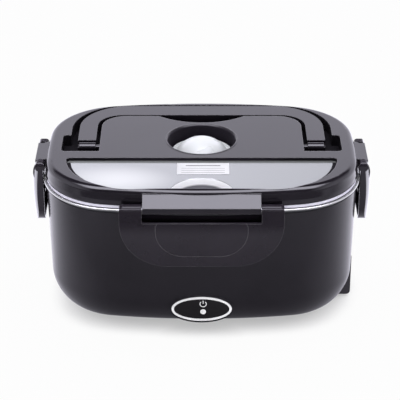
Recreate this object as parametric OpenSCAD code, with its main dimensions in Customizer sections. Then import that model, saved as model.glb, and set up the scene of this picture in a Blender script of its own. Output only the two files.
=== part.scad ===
// Electric lunch box: heated casing, steel food container, lift-off lid held by four
// swing latches, folding carry handle, steam vent plug and figure-of-eight mains inlet.
// Millimetres, +Z up, origin on the table under the middle of the box.

/* [Part to show] */

// Which piece is drawn

/* [Box plan] */

// Radius of the four upright corners in plan
corner_r = 50; // [49.5:0.1:50.5]
// How far the bowed front and back stand out beyond the corner arcs
front_bulge = 4.54; // [4.5:0.01:4.6]
// How far the bowed ends stand out beyond the corner arcs
side_bulge = 0.47; // [0.45:0.01:0.49]

/* [Casing] */

// Height of the top of the casing wall
casing_rim_z = 96.4; // [96:0.1:97]
// Height of the underside of the casing
casing_floor_z = 1.1; // [0.9:0.1:1.4]
// Radius between the casing wall and its underside
floor_round = 29; // [28:0.5:30]
// Lean of the casing wall
draft = 1.5; // [1.4:0.05:1.6]
// Thickness of the casing wall
wall = 2.4; // [2:0.1:2.6]

/* [Food container] */

// Height of the underside of the container
pan_z = 34; // [33.8:0.1:35]
// Inset of the container wall from the plan outline
pan_inset = 9.4; // [9.2:0.1:10]
// Steel thickness of the container
pan_wall = 0.8; // [0.6:0.1:1]
// Radius between the container wall and its floor
pan_round = 14; // [12:1:16]

/* [Lid] */

// Height of the bottom edge of the lid skirt above the casing rim
skirt_rise = 5.6; // [5.4:0.1:5.8]
// Height of the lid from the bottom edge of its skirt to its flat top
lid_height = 12.5; // [12.2:0.1:13]
// Radius along the top edge of the lid
lid_round = 4.5; // [4:0.1:5]
// Depth of the handle groove
groove_depth = 8.5; // [8:0.1:9]
// Depth of the steel plate below the lid top
plate_drop = 2.05; // [1.8:0.05:2.2]

/* [Latches] */

// Half of the length of the front and rear latches
long_latch = 55.5; // [54:0.5:57]
// Half of the length of the two end latches
short_latch = 21; // [20:0.5:22]
// Height of the hinge pins of the front and rear latch above the skirt's edge
latch_rise = 1.2; // [1:0.1:1.4]
// Height of the hinge pins of the end latches above the skirt's edge
side_rise = 4.5; // [4.3:0.1:4.6]
// Radius of the latch knuckles
knuckle_r = 3.5; // [3.3:0.1:3.6]
// Diameter of the latch hinge pins
latch_pin_d = 2; // [1.8:0.1:2.2]

/* [Handle] */

// Half of the outside width of the handle
handle_x = 88; // [87:0.5:89]
// Width of the handle arms
arm_w = 12.8; // [12:0.2:13.2]
// Width of the handle grip
grip_w = 16.2; // [15:0.2:16.6]
// Thickness of the handle
handle_t = 6.2; // [5.8:0.1:6.4]
// Radius of the handle barrels
barrel_r = 3.5; // [3.3:0.1:3.6]

/* [Running fits] */

// Radial clearance of a pin in its bore
run_fit = 0.06; // [0.04:0.01:0.1]
// Clearance between a latch ear and the block that it turns against
side_play = 0.4; // [0.3:0.05:0.5]

/* [Hidden] */

fine = 96;
arc_fine = 720;
eps = 0.01;

black = [0.05, 0.05, 0.06];
steel = [0.78, 0.79, 0.82];
white = [0.93, 0.93, 0.93];

// plan outline: eight tangent arcs. The front arcs meet the corner arcs along the direction
// 13 across to 84 forward (hypotenuse 85), the end arcs along 840 across to 41 forward (841).
corner_x = 13 * front_bulge;
corner_y = 41 * side_bulge;
half_width = corner_x + corner_r + side_bulge;
half_depth = corner_y + corner_r + front_bulge;
bow_front_r = corner_r + 85 * front_bulge;
bow_side_r = corner_r + 841 * side_bulge;
front_c = half_depth - bow_front_r;
side_c = half_width - bow_side_r;
front_half = atan2(13, 84);
side_half = atan2(41, 840);

// casing profile
line_x = -(casing_rim_z + 1.8 - casing_floor_z - floor_round) * tan(draft);
round_x = line_x - floor_round / cos(draft);
round_z = casing_floor_z + floor_round;

// seam stack
liner_top = casing_rim_z + 2.1;
flange_z = liner_top - 0.2;
flange_t = 1.6;
seal_z = flange_z + flange_t + 0.05;
skirt_z = casing_rim_z + skirt_rise;
lid_z = skirt_z + lid_height;
latch_axis_z = skirt_z + latch_rise;
side_axis_z = skirt_z + side_rise;
lid_liner_t = 2;
rim_out = 1.6;

plate_z = lid_z - plate_drop;
plate_t = 0.8;
groove_z = lid_z - groove_depth;

// window in the lid
moon_r = 46.8;
moon_x = 47.5;
moon_y = -21.8;
moon_front = moon_y - moon_r;
moon_tip = 3;
moon_tip_x = moon_x + sqrt(pow(moon_r - moon_tip, 2) - moon_tip * moon_tip);
dish_y = -70.6;

// steam vent
vent_y = 8.8;
vent_r = 23.8;
vent_edge = 1;
vent_floor = skirt_z + 1.2;
stem_hole_r = 4.2;

// handle groove and the island inside it
groove_x = 93.4;
groove_y = 67.1;
groove_r = 41;
groove_front = -11.2;
island_x = 72.1;
island_y = 47.6;
island_r = 17;
pocket_x = 98.9;
pocket_end = 15;
pocket_r = 3;
handle_y = 66.2;
handle_r = 36;
barrel_y = 3;
barrel_z = lid_z - 0.4 - barrel_r;
handle_top = lid_z - 0.3;
stub_r = 2;

// latches
pin_out = 3.9;
flap_out = 5.4;
flap_z = casing_rim_z - 34.9;
window_z = casing_rim_z - 1.4;
rib_z = casing_rim_z - 11.9;
rib_t = 3;
hook_z = rib_z - 3.5;
ear_long = 15.2;
ear_short = 6.6;
ear_top = 2.4;
ear_recess_r = 4.8;
flap_skin = 2.4;
flap_rim = 2.2;
flap_bow = 170;
bow_z = casing_rim_z - 12.2;
panel_low = flap_z + 8.2;
panel_high = window_z - 1.8;
panel_half = 31.2;
panel_r = 19;
side_flap_out = 7.1;
side_flap_r = 51;
side_gap = 2.3;

// indicator
eye_z = 22.4;
eye_x = 21;
eye_h = 9.65;
eye_y = -73.2;
light_x = 1.05;
light_z = eye_z - 2.3;

// inlet
inlet_y = 18;
inlet_x = 108.2;
inlet_low = 1.9;
inlet_top = 33;
inlet_z = 19;
socket_back = 18;
pin_back = 22;
pin_y = 4.2;
shank_r = 1.6;
pin_r = 1.18;

// places of the clamp screws, cover screws and feet, and the run of the leads
clamp_x = 39;
post_x = 54;
post_y = 25;
foot_x = 69;
foot_y = 30;
heater_low = 24.3;
heater_end = 20;
lead_x = 83.5;
lead_y = 9.5;
lead_z = 6.9;
lead_r = 1;
bend_r = 1.2;

// ---- helpers -------------------------------------------------------------------------------

// Sweeps a profile round the plan outline. x = 0 is the outline, minus x is inwards.
module sweep() {
    for (k = [0, 1]) {
        mirror([0, k, 0]) translate([0, front_c, 0]) intersection() {
            rotate_extrude(angle = 24, start = 78, $fn = arc_fine) translate([bow_front_r, 0]) children();
            linear_extrude(200) polygon([[0, 0], [104, 672], [-104, 672]]);
        }
        mirror([k, 0, 0]) translate([side_c, 0, 0]) intersection() {
            rotate_extrude(angle = 12, start = -6, $fn = arc_fine) translate([bow_side_r, 0]) children();
            linear_extrude(200) polygon([[0, 0], [840, -41], [840, 41]]);
        }
        for (j = [0, 1]) mirror([k, 0, 0]) mirror([0, j, 0]) translate([corner_x, corner_y, 0])
            intersection() {
                rotate_extrude(angle = 90, $fn = fine) translate([corner_r, 0]) children();
                linear_extrude(200) polygon([[0, 0], [84, 4.1], [84, 84], [13, 84]]);
            }
    }
}

// Points of the plan outline set inwards by d.
function arc_pts(cx, cy, r, a0, a1, n) =
    [for (i = [0:n]) [cx + r * cos(a0 + (a1 - a0) * i / n), cy + r * sin(a0 + (a1 - a0) * i / n)]];
function quarter(d, n) = concat(
    arc_pts(side_c, 0, bow_side_r - d, 0, side_half, 2),
    arc_pts(corner_x, corner_y, corner_r - d, side_half, 90 - front_half, n),
    arc_pts(0, front_c, bow_front_r - d, 90 - front_half, 90, 3));
function flip(p, sx, sy) = [for (q = p) [q[0] * sx, q[1] * sy]];
function back_to_front(p) = [for (i = [len(p) - 1:-1:0]) p[i]];
module plan(d, n = 8) {
    q = quarter(d, n);
    polygon(concat(q, back_to_front(flip(q, -1, 1)), flip(q, -1, -1), back_to_front(flip(q, 1, -1))));
}

// Region with straight sides and rounded back corners.
module arch(x, y, r, front) {
    translate([-x, front]) square([2 * x, y - r - front]);
    translate([-(x - r), front]) square([2 * (x - r), y - front]);
    for (s = [-1, 1]) translate([s * (x - r), y - r]) circle(r, $fn = fine);
}

module round_rect(x, y, r) {
    square([2 * x, 2 * (y - r)], center = true);
    square([2 * (x - r), 2 * y], center = true);
    for (i = [-1, 1], j = [-1, 1]) translate([i * (x - r), j * (y - r)]) circle(r, $fn = 48);
}

// Oval with half width a and half height h.
module oval(a, h) {
    polygon([for (i = [0:55]) [a * cos(i * 360 / 56), h * sin(i * 360 / 56)]]);
}

// Inset of the leaning casing wall at height z, for a surface d inside the outer face.
function wall_x(d, z) = -(casing_rim_z + 1.8 - z) * tan(draft) - d / cos(draft);

// Cut through the casing wall from the rim to the floor.
module casing_section() {
    polygon(concat(
        [[wall_x(wall, casing_rim_z), casing_rim_z], [wall_x(0, casing_rim_z), casing_rim_z]],
        arc_pts(round_x, round_z, floor_round, -draft, -90, 18),
        [[round_x - 4, casing_floor_z], [round_x - 4, casing_floor_z + wall]],
        arc_pts(round_x, round_z, floor_round - wall, -90, -draft, 9)));
}

// Places a part drawn for the front latch on each side of the box.
module at_front() { translate([0, -half_depth - pin_out, latch_axis_z]) children(); }
module at_rear() { rotate(180) at_front() children(); }
module at_left() { rotate(-90) translate([0, -half_width - pin_out, side_axis_z]) children(); }
module at_right() { rotate(90) translate([0, -half_width - pin_out, side_axis_z]) children(); }

// ---- casing and heater ---------------------------------------------------------------------

module catch_rib(length, axis) {
    // straight bar on the casing wall under the latch hinge
    translate([-length / 2, 2.3, rib_z - axis]) rotate([90, 0, 90])
        linear_extrude(length) polygon([[0, 0], [3.9, 0], [3.9, rib_t], [1.2, rib_t], [0, 1.8]]);
}

module outer_casing() {
    color(black) difference() {
        union() {
            sweep() casing_section();
            translate([0, 0, casing_floor_z + 0.4]) linear_extrude(3.6) plan(-round_x + 2);
            at_front() catch_rib(60, latch_axis_z);
            at_rear() catch_rib(60, latch_axis_z);
            at_left() catch_rib(20, side_axis_z);
            at_right() catch_rib(20, side_axis_z);
            // raised oval surround of the indicator
            translate([0, eye_y + 0.2, eye_z]) rotate([-90, 0, 0]) linear_extrude(13)
                oval(eye_x + 1.4, eye_h + 1.4);
            // screw posts of the base cover
            for (i = [-1, 1], j = [-1, 1]) translate([i * post_x, j * post_y, casing_floor_z + 1])
                cylinder(h = 11, r = 4, $fn = 48);
        }
        // hollow behind the indicator
        translate([0, eye_y + 4.2, eye_z]) rotate([-90, 0, 0]) linear_extrude(20)
            oval(eye_x - 2.2, eye_h - 2.2);
        // hole for the stem of the light
        translate([light_x, eye_y + 1, light_z]) rotate([-90, 0, 0]) cylinder(h = 5, r = 1.65, $fn = 48);
        // seat of the indicator panel
        translate([0, eye_y, eye_z]) rotate([-90, 0, 0]) linear_extrude(2.2) oval(eye_x + 0.1, eye_h + 0.1);
        translate([0, eye_y - 1, eye_z]) rotate([-90, 0, 0]) linear_extrude(1.5)
            oval(eye_x + 2.4, eye_h + 2.4);
        // opening and seat of the base cover
        translate([0, 0, casing_floor_z - 1]) linear_extrude(3.1) round_rect(60.2, 31.2, 10.2);
        translate([0, 0, 0]) linear_extrude(12) round_rect(48, 19, 6);
        for (i = [-1, 1], j = [-1, 1]) translate([i * post_x, j * post_y, 0])
            cylinder(h = 10.5, r = 1.35, $fn = 32);
        // seats of the feet
        for (i = [-1, 1], j = [-1, 1]) translate([i * foot_x, j * foot_y, -1])
            cylinder(h = 3.7, r = 6.6, $fn = 64);
        // opening for the inlet shroud
        translate([79.9, -inlet_y - 0.1, 0]) cube([40, 2 * inlet_y + 0.2, inlet_top + 0.1]);
    }
}

// Cut through the liner: flange on the casing rim, locating lip, wall and floor edge.
module liner_section() {
    gap = 0.7;
    thick = 1.6;
    low = pan_z - 3;
    edge = -pan_inset - pan_round;
    polygon(concat(
        [[-0.5, casing_rim_z], [-0.5, liner_top], [-pan_inset + gap, liner_top]],
        arc_pts(edge, pan_z + pan_round, pan_round + gap, 0, -72, 5),
        [[-23, low + 2], [-30, low + 2], [-30, low], [-22, low]],
        arc_pts(edge, pan_z + pan_round, pan_round + gap + thick, -68, 0, 5),
        [[-pan_inset + gap + thick, liner_top - 2.8], [-wall - 2, liner_top - 2.8],
        [-wall - 2, liner_top - 4.5], [-wall - 0.35, liner_top - 4.5], [-wall - 0.35, casing_rim_z]]));
}

module inner_liner() {
    color([0.12, 0.12, 0.13]) {
        difference() {
            union() {
                sweep() liner_section();
                translate([0, 0, 31]) linear_extrude(2) plan(28);
            }
            translate([0, 0, 30]) linear_extrude(4) round_rect(55.3, 33.3, 12.3);
        }
    }
}

module heating_plate() {
    color([0.72, 0.73, 0.74]) difference() {
        union() {
            translate([0, 0, 30.9]) linear_extrude(pan_z + 0.1 - 30.9) round_rect(55, 33, 12);
            translate([0, 0, 29.4]) linear_extrude(1.6 - 0.01) round_rect(60, 38, 12);
        }
        for (s = [-1, 1]) translate([s * clamp_x, 0, 29]) cylinder(h = 3.2, r = 1.3, $fn = 32);
    }
}

module ptc_heater() {
    color([0.85, 0.83, 0.76]) translate([-30, -12, heater_low]) cube([60, 24, 5.1]);
}

module heater_clamp() {
    // strap below the heater with a foot at each end on the heating plate
    color([0.7, 0.7, 0.72]) difference() {
        rotate([90, 0, 0]) translate([0, 0, -7]) linear_extrude(14) polygon([
            [-44, 28], [-32.4, 28], [-32.4, 22.9], [32.4, 22.9], [32.4, 28], [44, 28],
            [44, 29.4], [31, 29.4], [31, heater_low], [-31, heater_low], [-31, 29.4], [-44, 29.4]]);
        for (s = [-1, 1]) translate([s * clamp_x, 0, 27]) cylinder(h = 3, r = 1.7, $fn = 32);
    }
}

module clamp_screws() {
    color(steel) for (s = [-1, 1]) translate([s * clamp_x, 0, 0]) {
        translate([0, 0, 26]) cylinder(h = 2, r = 2.8, $fn = 32);
        translate([0, 0, 27.9]) cylinder(h = 4, r = 1.3, $fn = 32);
    }
}

module thermostat() {
    color([0.25, 0.22, 0.2]) translate([0, 23.5, 0]) {
        translate([0, 0, 26.4]) cylinder(h = 3, r = 8.4, $fn = 64);
        translate([0, 0, 21.9]) cylinder(h = 4.6, r = 7, $fn = 64);
        for (s = [-1, 1]) translate([s * 4 - 0.4, -2, 14.5]) cube([0.8, 4, 7.6]);
    }
}

module thermal_fuse() {
    color([0.85, 0.8, 0.6]) translate([0, -22, 27.4]) {
        rotate([0, 90, 0]) translate([0, 0, -6]) cylinder(h = 12, r = 2, $fn = 48);
        rotate([0, 90, 0]) translate([0, 0, -14]) cylinder(h = 28, r = 0.5, $fn = 24);
    }
}

module wire(x0, x1, y, z) {
    translate([x0, y, z]) rotate([0, 90, 0]) cylinder(h = x1 - x0, r = lead_r, $fn = 24);
}

module lead_wires() {
    // insulated leads from the inlet pins, along the casing floor and up to the heater
    color([0.7, 0.12, 0.1]) for (s = [-1, 1]) {
        wire(-heater_end, lead_x, s * lead_y, lead_z);
        for (x = [-heater_end, lead_x]) translate([x, s * lead_y, lead_z]) sphere(bend_r, $fn = 24);
        translate([-heater_end, s * lead_y, lead_z]) cylinder(h = heater_low - lead_z, r = lead_r, $fn = 24);
        translate([lead_x, s * lead_y, lead_z]) cylinder(h = inlet_z - lead_z, r = lead_r, $fn = 24);
        translate([lead_x, s * lead_y, inlet_z]) sphere(bend_r, $fn = 24);
        translate([lead_x, s * pin_y, inlet_z]) rotate([s * -90, 0, 0])
            cylinder(h = lead_y - pin_y, r = lead_r, $fn = 24);
        translate([lead_x, s * pin_y, inlet_z]) sphere(bend_r, $fn = 24);
        wire(lead_x, inlet_x - pin_back, s * pin_y, inlet_z);
    }
}

module inlet_body() {
    // block that fills the rounded lower edge of the casing at the right-hand end
    difference() {
        translate([0, inlet_y, 0]) rotate([90, 0, 0]) linear_extrude(2 * inlet_y) polygon([
            [80, inlet_low], [inlet_x, inlet_low], [inlet_x, inlet_top], [inlet_x - 4, inlet_top],
            [inlet_x - 11, 29], [80, 29]]);
        translate([inlet_x - 3, -inlet_y - 1, inlet_low - 1]) difference() {
            cube([5, 2 * inlet_y + 2, 4]);
            translate([0, -1, 4]) rotate([-90, 0, 0]) cylinder(h = 2 * inlet_y + 4, r = 3, $fn = 48);
        }
    }
}

module figure_eight(grow) {
    for (s = [-1, 1]) translate([s * pin_y, 0]) circle(4.4 + grow, $fn = 64);
    square([2 * pin_y, 5.6 + 2 * grow], center = true);
}

module inlet_shroud() {
    color(black) difference() {
        inlet_body();
        translate([inlet_x - socket_back, 0, inlet_z]) rotate([90, 0, 90]) linear_extrude(20)
            round_rect(12.1, 8.1, 3.1);
        translate([79, -inlet_y + 3, inlet_low + 3]) cube([7, 2 * inlet_y - 6, 20]);
        // room behind the socket for the shanks of the pins
        translate([inlet_x - 23.2, -11, 12]) cube([5.3, 22, 14]);
    }
}

module inlet_socket() {
    color([0.16, 0.16, 0.17]) difference() {
        translate([inlet_x - socket_back, 0, inlet_z]) rotate([90, 0, 90]) linear_extrude(17)
            round_rect(12, 8, 3);
        translate([inlet_x - 14, 0, inlet_z]) rotate([90, 0, 90]) linear_extrude(20) figure_eight(0.3);
        for (s = [-1, 1]) translate([inlet_x - 20, s * pin_y, inlet_z]) rotate([0, 90, 0])
            cylinder(h = 10, r = shank_r, $fn = 32);
    }
}

module inlet_pins() {
    // thicker shanks held in the socket, and the free ends in its recess
    color(steel) for (s = [-1, 1]) translate([inlet_x - pin_back, s * pin_y, inlet_z]) {
        rotate([0, 90, 0]) cylinder(h = 8.1, r = shank_r, $fn = 32);
        translate([8.1 - eps, 0, 0]) rotate([0, 90, 0]) cylinder(h = 9.9 + eps, r = pin_r, $fn = 32);
        translate([18, 0, 0]) sphere(pin_r, $fn = 32);
    }
}

// ---- indicator -----------------------------------------------------------------------------

module indicator_panel() {
    color([0.03, 0.03, 0.04]) difference() {
        translate([0, eye_y + 0.5, eye_z]) rotate([-90, 0, 0]) linear_extrude(1.6)
            oval(eye_x, eye_h);
        translate([0, eye_y - 1, eye_z]) rotate([-90, 0, 0]) linear_extrude(2.1) difference() {
            oval(eye_x + 1, eye_h + 1);
            oval(eye_x - 1.7, eye_h - 1.7);
        }
        translate([light_x, eye_y - 1, light_z]) rotate([-90, 0, 0]) cylinder(h = 5, r = 2.1, $fn = 48);
    }
}

module indicator_ring() {
    color(white) translate([0, eye_y + 0.3, eye_z]) rotate([-90, 0, 0]) linear_extrude(0.8) difference() {
        oval(eye_x, eye_h);
        oval(eye_x - 1.7, eye_h - 1.7);
    }
}

module led_lens() {
    color(white) translate([light_x, eye_y + 0.4, light_z]) rotate([-90, 0, 0]) {
        cylinder(h = 1.75, r = 2, $fn = 48);
        translate([0, 0, 1.7]) cylinder(h = 4.3, r = 1.5, $fn = 48);
    }
}

module led_board() {
    color([0.1, 0.35, 0.16]) {
        translate([-21, eye_y + 13.2, eye_z - 6.5]) cube([42, 1.4, 13]);
        translate([light_x, eye_y + 6.6, light_z]) rotate([-90, 0, 0]) cylinder(h = 6.7, r = 1.5, $fn = 32);
    }
}

// ---- underside -----------------------------------------------------------------------------

module base_cover() {
    color(black) difference() {
        translate([0, 0, casing_floor_z]) linear_extrude(2) round_rect(60, 31, 10);
        for (i = [-1, 1], j = [-1, 1]) translate([i * post_x, j * post_y, 0]) {
            cylinder(h = 5, r = 1.7, $fn = 32);
            cylinder(h = casing_floor_z + 1, r = 3.1, $fn = 48);
        }
        for (k = [-3:3]) translate([k * 7 - 1.2, -12, 0]) cube([2.4, 24, 5]);
    }
}

module base_screws() {
    color([0.3, 0.3, 0.32]) for (i = [-1, 1], j = [-1, 1]) translate([i * post_x, j * post_y, 0])
        difference() {
            union() {
                translate([0, 0, casing_floor_z - 0.6]) cylinder(h = 1.6, r = 2.8, $fn = 48);
                translate([0, 0, casing_floor_z + 0.9]) cylinder(h = 7, r = 1.35, $fn = 32);
            }
            for (a = [0, 90]) rotate(a) translate([-1.8, -0.35, 0]) cube([3.6, 0.7, casing_floor_z]);
        }
}

module rubber_feet() {
    color([0.1, 0.1, 0.1]) for (i = [-1, 1], j = [-1, 1]) translate([i * foot_x, j * foot_y, 0]) {
        cylinder(h = 0.6, r1 = 6, r2 = 6.5, $fn = 64);
        translate([0, 0, 0.6 - eps]) cylinder(h = 2.1 + eps, r = 6.5, $fn = 64);
    }
}

// ---- container -----------------------------------------------------------------------------

// Cut through the container: floor edge, wall, flange and rolled lip.
module pan_section() {
    edge = -pan_inset - pan_round;
    lip = 0.8;
    polygon(concat(
        arc_pts(edge, pan_z + pan_round, pan_round, -90, 0, 12),
        [[-pan_inset, flange_z + 0.3]],
        arc_pts(rim_out - lip, flange_z + lip, lip, 219, 518, 15),
        [[-pan_inset - 0.2, flange_z + 1.1], [-pan_inset - pan_wall, flange_z + 0.3]],
        arc_pts(edge, pan_z + pan_round, pan_round - pan_wall, 0, -90, 12),
        [[-30, pan_z + pan_wall], [-30, pan_z]]));
}

module food_container() {
    color(steel) {
        sweep() pan_section();
        // slightly raised panel in the floor
        translate([0, 0, pan_z + 0.2]) linear_extrude(pan_wall) plan(28);
    }
}

// ---- lid -----------------------------------------------------------------------------------

module lid_section() {
    // skirt, slightly flared at the foot, and the rounded top edge
    r = lid_round;
    in = 0.5;
    union() {
        polygon([[-0.4, skirt_z], [0, skirt_z + 1.4], [0, skirt_z + 4], [-in, lid_z - r],
            [-in - r, lid_z - r], [-in - r, lid_z], [-31, lid_z], [-31, skirt_z]]);
        translate([-in - r, lid_z - r]) circle(r, $fn = 64);
    }
}

module latch_block(length, axis, rise) {
    // hinge block between the two ears of a latch; its top slopes up to the lid
    translate([-length / 2, 0, 0]) rotate([90, 0, 90]) linear_extrude(length) mirror([1, 0]) polygon([
        [-9, skirt_z - axis], [-3.3, skirt_z - axis], [-3.3, -2.2], [2.9, -2.2],
        [3.6, -1.5], [3.6, 2.3], [-5.2, rise], [-9, rise]]);
}

// Room in the side of the lid for the turning ears of a latch.
module ear_recess(half, ear) {
    for (s = [-1, 1]) translate([s * (half - ear / 2), 0, 0]) rotate([0, 90, 0])
        cylinder(h = ear + 0.6, r = ear_recess_r, center = true, $fn = 96);
}

module handle_groove() {
    difference() {
        union() {
            arch(groove_x, groove_y, groove_r, groove_front);
            for (s = [-1, 1]) translate([s * (pocket_x - 13), (groove_front + pocket_end) / 2])
                round_rect(13, (pocket_end - groove_front) / 2, pocket_r);
            for (s = [-1, 1]) translate([s * 83 - 10, groove_front]) square([20, 20]);
        }
        difference() {
            arch(island_x, island_y, island_r, groove_front - 5);
            intersection() {
                translate([0, 84.4]) circle(48.2, $fn = 240);
                translate([-33, 30]) square([66, 20]);
            }
        }
    }
}

// Half moon with rounded tips, grown by the given amount.
module moon(grow) {
    tip_y = (moon_r + grow) * moon_tip / (moon_r - moon_tip);
    intersection() {
        union() {
            for (s = [-1, 1]) translate([s * moon_x, moon_y]) circle(moon_r + grow, $fn = 128);
            translate([-moon_x, moon_front - grow]) square([2 * moon_x, moon_r + grow]);
        }
        translate([-120, moon_front - 5]) square([240, moon_r + 5 - tip_y]);
    }
    translate([-moon_tip_x, moon_y - moon_tip - 4]) square([2 * moon_tip_x, moon_tip + 4 + grow]);
    for (s = [-1, 1]) translate([s * moon_tip_x, moon_y - moon_tip]) circle(moon_tip + grow, $fn = 64);
}

module lid_shell() {
    color(black) difference() {
        union() {
            sweep() lid_section();
            translate([0, 0, skirt_z]) linear_extrude(lid_z - skirt_z) plan(29);
            at_front() latch_block(2 * (long_latch - ear_long) - 2 * side_play, latch_axis_z, 8.7);
            at_rear() latch_block(2 * (long_latch - ear_long) - 2 * side_play, latch_axis_z, 8.7);
            at_left() latch_block(2 * (short_latch - ear_short) - 2 * side_play, side_axis_z, 3.4);
            at_right() latch_block(2 * (short_latch - ear_short) - 2 * side_play, side_axis_z, 3.4);
        }
        translate([0, 0, groove_z]) linear_extrude(20) handle_groove();
        translate([0, 0, plate_z]) linear_extrude(10) moon(0);
        translate([0, 0, plate_z - plate_t - 0.05]) linear_extrude(10) moon(-0.4);
        intersection() {
            translate([0, dish_y, plate_z - 6.6]) cylinder(h = 10, r = 23.6, $fn = fine);
            translate([-30, moon_front + 0.4, plate_z - 20]) cube([60, 40, 40]);
        }
        translate([0, vent_y, vent_floor]) cylinder(h = 20, r = vent_r, $fn = 128);
        translate([0, vent_y, lid_z - vent_edge])
            cylinder(h = vent_edge + 0.01, r1 = vent_r, r2 = vent_r + vent_edge, $fn = 128);
        translate([0, vent_y, skirt_z - 12]) cylinder(h = 20, r = stem_hole_r, $fn = 48);
        // bores of the handle stubs
        for (s = [-1, 1]) translate([s * (island_x - 4.5), barrel_y, barrel_z]) rotate([0, s * 90, 0])
            cylinder(h = 12, r = stub_r + run_fit, $fn = 48);
        at_front() ear_recess(long_latch, ear_long);
        at_rear() ear_recess(long_latch, ear_long);
        // bores of the latch pins
        at_front() pin_bore(long_latch, 0);
        at_rear() pin_bore(long_latch, 0);
        at_left() pin_bore(short_latch, 0);
        at_right() pin_bore(short_latch, 0);
    }
}

module pin_bore(half, grow) {
    rotate([0, 90, 0]) translate([0, 0, -half]) cylinder(h = 2 * half, r = latch_pin_d / 2 + grow, $fn = 32);
}

module lid_liner() {
    color([0.16, 0.16, 0.17]) difference() {
        union() {
            // rim that reaches into the container, and the flat liner inside it
            sweep() polygon([[-pan_inset - 3.4, skirt_z - 4.6], [-pan_inset - 2.6, skirt_z - 3.8],
                [-pan_inset - 2.6, skirt_z], [-30, skirt_z], [-30, skirt_z - lid_liner_t],
                [-pan_inset - 5, skirt_z - lid_liner_t], [-pan_inset - 5, skirt_z - 4.6]]);
            translate([0, 0, skirt_z - lid_liner_t]) linear_extrude(lid_liner_t) plan(28);
        }
        translate([0, vent_y, skirt_z - 12]) cylinder(h = 20, r = stem_hole_r, $fn = 48);
    }
}

module lid_seal() {
    color([0.75, 0.75, 0.8]) sweep() polygon([
        [-0.5, seal_z], [-0.5, skirt_z], [-pan_inset - 2.5, skirt_z], [-pan_inset - 2.5, seal_z - 1.2],
        [-pan_inset - 1.3, seal_z - 1.2], [-pan_inset - 1.1, seal_z]]);
}

module lid_plate() {
    color(steel) difference() {
        union() {
            translate([0, 0, plate_z - plate_t]) linear_extrude(plate_t) moon(-0.6);
            intersection() {
                translate([0, dish_y, plate_z - 6.2]) cylinder(h = 6.2, r1 = 18.4, r2 = 22.8, $fn = fine);
                translate([-30, moon_front + 0.6, plate_z - 20]) cube([60, 40, 40]);
            }
        }
        translate([0, dish_y, plate_z - 5.4]) cylinder(h = 5.41, r1 = 17.4, r2 = 21.8, $fn = fine);
    }
}

module name_label() {
    color(white) translate([-17, -43.4, plate_z]) cube([36, 17, 0.2]);
}

module latch_pins() {
    color(steel) {
        at_front() pin_bore(long_latch - 3, 0);
        at_rear() pin_bore(long_latch - 3, 0);
        at_left() pin_bore(short_latch - 1.5, 0);
        at_right() pin_bore(short_latch - 1.5, 0);
    }
}

// ---- latches -------------------------------------------------------------------------------

// Shape with a flat top and large rounded corners below.
module d_shape(half, low, high, r) {
    translate([-half, low + r]) square([2 * half, high - low - r]);
    translate([-half + r, low]) square([2 * (half - r), r + 1]);
    for (s = [-1, 1]) translate([s * (half - r), low + r]) circle(r, $fn = 128);
}

// Outline of a latch seen square on: an ear at each end of the top, and the window between them.
module flap_outline(half, r, ear, top, ear_r, axis) {
    difference() {
        union() {
            d_shape(half, flap_z - axis, top - ear_r, r);
            for (s = [-1, 1]) {
                translate([s * (half - ear_r), top - ear_r]) circle(ear_r, $fn = 48);
                translate([s * (half - ear / 2 - ear_r / 2) - (ear - ear_r) / 2, top - 2 * ear_r])
                    square([ear - ear_r, 2 * ear_r]);
            }
        }
        translate([-(half - ear), window_z - axis]) square([2 * (half - ear), 20]);
    }
}

module across(length) {
    // runs a thickness profile along a latch: x = 0 on the hinge pin, plus x outwards
    rotate([90, 0, -90]) linear_extrude(length, center = true) children();
}

// Bowed outer face of the front and rear latch, set inwards by d.
module face(d) {
    translate([flap_out - flap_bow, bow_z - latch_axis_z]) circle(flap_bow - d, $fn = 720);
}

// The bar on the inner face that passes under the catch rib of the casing.
module hook_bar(length, root, axis) {
    translate([-length / 2, 0, hook_z - axis]) rotate([90, 0, 90]) linear_extrude(length)
        polygon([[-root, -2.6], [-0.8, -2], [1.6, 0], [2.15, 1], [2.15, 3.2], [-root, 3.2]]);
}

module knuckles(half, ear) {
    for (s = [-1, 1]) translate([s * (half - ear / 2), 0, 0]) rotate([0, 90, 0])
        cylinder(h = ear, r = knuckle_r, center = true, $fn = 64);
}

// Front and rear latch: straight along its length, hollow behind, with a shallow panel in front.
module long_flap() {
    low = flap_z - latch_axis_z;
    length = 2 * long_latch + 2;
    difference() {
        union() {
            difference() {
                intersection() {
                    rotate([90, 0, 0]) linear_extrude(20, center = true)
                        flap_outline(long_latch, 33, ear_long, ear_top, 2, latch_axis_z);
                    union() {
                        across(length) intersection() {
                            face(0);
                            polygon([[-1.2, 0.9], [-1.2, -25], [-2, -34], [-2, low - 1],
                                [12, low - 1], [12, 0.9]]);
                        }
                        knuckles(long_latch, ear_long);
                        for (s = [-1, 1]) translate([s * (long_latch - ear_long / 2), 0, 0]) across(ear_long)
                            polygon(concat([[-3.4, 0], [4, 0]], arc_pts(2.7, ear_top - 1.5, 1.5, 0, 90, 6),
                                arc_pts(-2.4, ear_top - 1, 1, 90, 180, 4)));
                    }
                }
                intersection() {
                    rotate([90, 0, 0]) linear_extrude(24, center = true) d_shape(long_latch - flap_rim,
                        low + flap_rim, window_z - flap_skin - latch_axis_z, 33 - flap_rim);
                    across(length) intersection() {
                        face(flap_skin);
                        polygon([[-10, 0], [-10, low], [12, low], [12, 0]]);
                    }
                }
            }
            hook_bar(60, 3.4, latch_axis_z);
        }
        intersection() {
            rotate([90, 0, 0]) linear_extrude(24, center = true) d_shape(panel_half, panel_low - latch_axis_z,
                panel_high - latch_axis_z, panel_r);
            across(length) difference() {
                translate([0, low]) square([12, -low]);
                face(0.25);
            }
        }
        pin_bore(long_latch - 2.6, run_fit);
    }
}

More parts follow.
